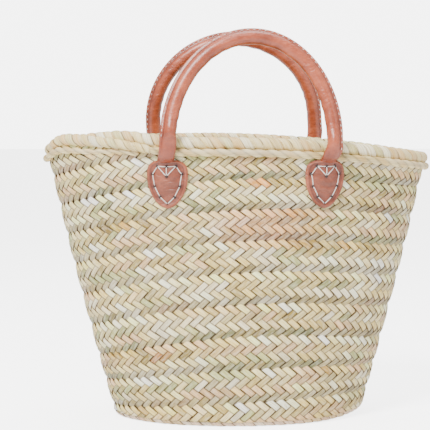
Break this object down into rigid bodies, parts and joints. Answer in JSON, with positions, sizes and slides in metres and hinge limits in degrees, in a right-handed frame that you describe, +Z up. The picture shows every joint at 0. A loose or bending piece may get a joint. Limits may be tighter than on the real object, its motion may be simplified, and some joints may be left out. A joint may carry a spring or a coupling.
{
  "type": "woven market basket",
  "caption": "Oval palm-leaf market basket, spiral-sewn plaited braid with wrapped rim, leather patches and folding leather handles.",
  "frame": {"origin": "centre of the underside, on the ground the basket stands on", "axes": "+Z up, +X along the basket's length to the right seen from the front, -Y towards the front"},
  "size_m": [0.4362, 0.2472, 0.4369],
  "materials": {
    "palm_braid": "plaited dried palm leaf, matt with a faint sheen along the fibres",
    "palm_wrap": "palm-leaf strip wound slantwise round a roll",
    "palm_cord": "twisted palm-leaf cord",
    "tan_leather": "smooth pinkish tan leather, half gloss",
    "white_thread": "waxed white thread"
  },
  "bodies": {
    "basket": {"base_centre_braid": "palm_braid", "base_turn_1": "palm_braid", "base_turn_2": "palm_braid", "foot_cord": "palm_wrap", "wall_turn_1": "palm_braid", "wall_turn_2": "palm_braid", "wall_turn_3": "palm_braid", "wall_turn_4": "palm_braid", "wall_turn_5": "palm_braid", "wall_turn_6": "palm_braid", "wall_turn_7": "palm_braid", "wall_turn_8": "palm_braid", "wall_turn_9": "palm_braid", "wall_turn_10": "palm_braid", "lacing_cord": "palm_cord", "rim_core": "palm_cord", "rim_wrap": "palm_wrap", "rim_cord": "palm_cord", "front_left_patch": "tan_leather", "front_right_patch": "tan_leather", "back_left_patch": "tan_leather", "back_right_patch": "tan_leather", "front_left_stitching": "white_thread", "front_right_stitching": "white_thread", "back_left_stitching": "white_thread", "back_right_stitching": "white_thread", "front_left_handle_end": "tan_leather", "front_right_handle_end": "tan_leather", "back_left_handle_end": "tan_leather", "back_right_handle_end": "tan_leather"},
    "front_handle": {"front_handle_core": "palm_cord", "front_handle_sleeve": "tan_leather", "front_handle_seam": "white_thread"},
    "back_handle": {"back_handle_core": "palm_cord", "back_handle_sleeve": "tan_leather", "back_handle_seam": "white_thread"}
  },
  "joints": [
    {"name": "front_handle_swing", "type": "hinge", "parent": "basket", "child": "front_handle", "pos_m": [0, -0.112, 0.29], "axis": [1, 0, 0], "range_deg": [0, 150]},
    {"name": "back_handle_swing", "type": "hinge", "parent": "basket", "child": "back_handle", "pos_m": [0, 0.112, 0.29], "axis": [-1, 0, 0], "range_deg": [0, 150]}
  ]
}
